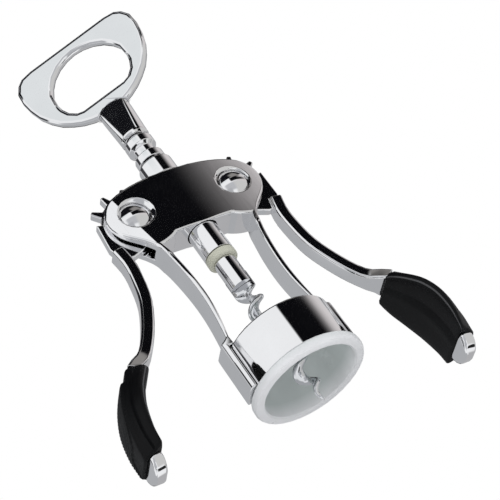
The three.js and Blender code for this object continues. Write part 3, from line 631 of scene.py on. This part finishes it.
def floor():
    """Pale floor that fades out, and isn't there from below, for shadow rays or for reflections."""
    mesh = bpy.data.meshes.new("floor")
    build = bmesh.new()
    bmesh.ops.create_circle(build, cap_ends=True, segments=FLOOR_SIDES, radius=FLOOR_RADIUS)
    build.to_mesh(mesh)
    build.free()
    piece = bpy.data.objects.new("floor", mesh)
    piece.location = (0, 0, FLOOR_HEIGHT)
    bpy.context.scene.collection.objects.link(piece)
    material, tree, shader = new_tree("floor")
    output = next(node for node in tree.nodes if node.type == "OUTPUT_MATERIAL")
    shader.inputs["Roughness"].default_value = FLOOR_ROUGHNESS
    cloud = noise(tree, 3, 2)
    tree.links.new(ramp(tree, cloud, *FLOOR_TONES), shader.inputs["Base Color"])
    clear = tree.nodes.new("ShaderNodeBsdfTransparent")
    coords = tree.nodes.new("ShaderNodeTexCoord")
    length = tree.nodes.new("ShaderNodeVectorMath")
    length.operation = "LENGTH"
    tree.links.new(coords.outputs["Object"], length.inputs[0])
    fade = span(tree, length.outputs["Value"], 0, 1, *FLOOR_FADE)
    geometry = tree.nodes.new("ShaderNodeNewGeometry")
    path = tree.nodes.new("ShaderNodeLightPath")
    below = maths(tree, "MAXIMUM", geometry.outputs["Backfacing"], path.outputs["Is Shadow Ray"])
    gone = maths(tree, "MAXIMUM", maths(tree, "MAXIMUM", below, path.outputs["Is Glossy Ray"]), fade)
    mix = tree.nodes.new("ShaderNodeMixShader")
    tree.links.new(gone, mix.inputs["Fac"])
    tree.links.new(shader.outputs["BSDF"], mix.inputs[1])
    tree.links.new(clear.outputs["BSDF"], mix.inputs[2])
    tree.links.new(mix.outputs["Shader"], output.inputs["Surface"])
    mesh.materials.append(material)


def direction(azimuth, elevation):
    """Azimuth 0 is the front (-Y), positive to the right (+X)."""
    a, e = math.radians(azimuth), math.radians(elevation)
    return (math.sin(a) * math.cos(e), -math.cos(a) * math.cos(e), math.sin(e))


def within(tree, value, stops):
    """0 outside the first and last stop, 1 between the two in the middle."""
    rise = span(tree, value, 0, 1, stops[0], stops[1], "SMOOTHSTEP")
    fall = span(tree, value, 1, 0, stops[2], stops[3], "SMOOTHSTEP")
    return maths(tree, "MULTIPLY", rise, fall)


# What polished metal shows. Each screen: azimuths in degrees where it fades in, is full from, is full to
# and fades out, the same for elevations, and its colour. A later screen covers the ones before it
ROOM = (0.92, 0.93, 0.94)
EVERY = (-201, -200, 200, 201)
SCREENS = [
    # In front, around the horizon
    ((-45, -30, 30, 45), (-30, -18, 12, 20), (0.52, 0.53, 0.55)),
    # Front and left, below the horizon
    ((-110, -90, -18, -8), (-62, -50, -12, -4), (0.46, 0.47, 0.49)),
    # Right, from below to a little above the horizon
    ((2, 20, 200, 201), (-60, -45, 12, 22), (0.62, 0.62, 0.61)),
    # Behind on the right
    ((100, 114, 200, 201), (-55, -45, 42, 52), (0.45, 0.45, 0.46)),
    # Behind on the left
    ((-201, -200, -140, -122), (-70, -60, 50, 62), (0.43, 0.44, 0.455)),
    # White that the handle's plate mirrors
    ((-58, -45, -20, -5), (33, 37, 60, 61), (0.80, 0.83, 0.84)),
    # Right, above the horizon
    ((28, 40, 102, 114), (8, 16, 42, 50), (0.66, 0.63, 0.63)),
    # Dark ceiling
    (EVERY, (41, 43, 200, 201), (0.006, 0.006, 0.008)),
    # Dark strip on the left
    ((-131, -127, -104, -99), (3, 8, 58, 64), (0.05, 0.05, 0.055)),
    # Grey at one end of what the housing's plate mirrors
    ((12, 30, 64, 80), (34, 44, 54, 66), (0.26, 0.25, 0.24)),
    # Black that the housing's plate mirrors
    ((1, 6, 38, 82), (19, 23, 39, 43), (0.003, 0.003, 0.004)),
    # The same lower down, which the bell mirrors
    ((1, 6, 52, 98), (19, 23, 29, 32), (0.003, 0.003, 0.004)),
    # Dark strip behind
    ((158, 166, 200, 201), (2, 8, 24, 27), (0.02, 0.02, 0.022)),
    # Dark patch on the right, far below
    ((52, 58, 90, 95), (-78, -74, -58, -54), (0.02, 0.02, 0.02)),
]


def studio_view(tree, coords):
    """Colour by direction: a pale room with grey and dark screens around the object."""
    split = tree.nodes.new("ShaderNodeSeparateXYZ")
    tree.links.new(coords, split.inputs["Vector"])
    back = maths(tree, "MULTIPLY", split.outputs["Y"], -1)
    azimuth = maths(tree, "DEGREES", maths(tree, "ARCTAN2", split.outputs["X"], back))
    elevation = maths(tree, "DEGREES", maths(tree, "ARCSINE", split.outputs["Z"]))
    colour = None
    for across, up, shade in SCREENS:
        inside = maths(tree, "MULTIPLY", within(tree, azimuth, across), within(tree, elevation, up))
        mix = tree.nodes.new("ShaderNodeMix")
        mix.data_type = "RGBA"
        tree.links.new(inside, mix.inputs["Factor"])
        if colour is None:
            mix.inputs["A"].default_value = (*ROOM, 1)
        else:
            tree.links.new(colour, mix.inputs["A"])
        mix.inputs["B"].default_value = (*shade, 1)
        colour = mix.outputs["Result"]
    return colour


def world():
    """White to the camera, the studio to reflections and an even light to everything else."""
    studio = bpy.data.worlds.new("studio")
    bpy.context.scene.world = studio
    studio.use_nodes = True
    tree = studio.node_tree
    tree.nodes.clear()
    output = tree.nodes.new("ShaderNodeOutputWorld")
    coords = tree.nodes.new("ShaderNodeTexCoord")
    path = tree.nodes.new("ShaderNodeLightPath")
    soft = tree.nodes.new("ShaderNodeBackground")
    soft.inputs["Color"].default_value = (*SOFT_TONE, 1)
    soft.inputs["Strength"].default_value = SOFT_STRENGTH
    room = tree.nodes.new("ShaderNodeBackground")
    tree.links.new(studio_view(tree, coords.outputs["Generated"]), room.inputs["Color"])
    white = tree.nodes.new("ShaderNodeBackground")
    white.inputs["Color"].default_value = (1, 1, 1, 1)
    shiny = tree.nodes.new("ShaderNodeMixShader")
    tree.links.new(path.outputs["Is Glossy Ray"], shiny.inputs["Fac"])
    tree.links.new(soft.outputs["Background"], shiny.inputs[1])
    tree.links.new(room.outputs["Background"], shiny.inputs[2])
    seen = maths(tree, "MAXIMUM", path.outputs["Is Camera Ray"], path.outputs["Is Transmission Ray"])
    mix = tree.nodes.new("ShaderNodeMixShader")
    tree.links.new(seen, mix.inputs["Fac"])
    tree.links.new(shiny.outputs["Shader"], mix.inputs[1])
    tree.links.new(white.outputs["Background"], mix.inputs[2])
    tree.links.new(mix.outputs["Shader"], output.inputs["Surface"])


def lamp(name, azimuth, elevation, distance, size, power):
    """Round lamp that looks at the part and isn't reflected: degrees, metres and watts."""
    light = bpy.data.lights.new(name, "AREA")
    light.shape = "DISK"
    light.size = size
    light.energy = power
    piece = bpy.data.objects.new(name, light)
    piece.location = LAMP_AIM + distance * Vector(direction(azimuth, elevation))
    piece.rotation_euler = (LAMP_AIM - piece.location).to_track_quat("-Z", "Y").to_euler()
    piece.visible_glossy = False
    bpy.context.scene.collection.objects.link(piece)


def camera():
    data = bpy.data.cameras.new("camera")
    data.sensor_width = SENSOR_WIDTH
    data.lens = CAMERA_FOCAL / FRAME_PIXELS * data.sensor_width
    data.clip_start = NEAREST
    data.clip_end = FARTHEST
    piece = bpy.data.objects.new("camera", data)
    back = -CAMERA_LOOK.normalized()
    right = CAMERA_RIGHT.normalized()
    up = back.cross(right)
    axes = Matrix((right, up, back)).transposed().to_4x4()
    piece.matrix_world = Matrix.Translation(CAMERA_PLACE) @ axes
    bpy.context.scene.collection.objects.link(piece)
    bpy.context.scene.camera = piece


camera()
floor()
world()
lamp("key", -60, 45, 0.9, 0.5, 2.5)
lamp("fill", 70, 25, 1.1, 0.6, 1.5)
lamp("under", -10, -50, 0.9, 0.5, 1.5)

bpy.context.scene.view_settings.view_transform = "Standard"
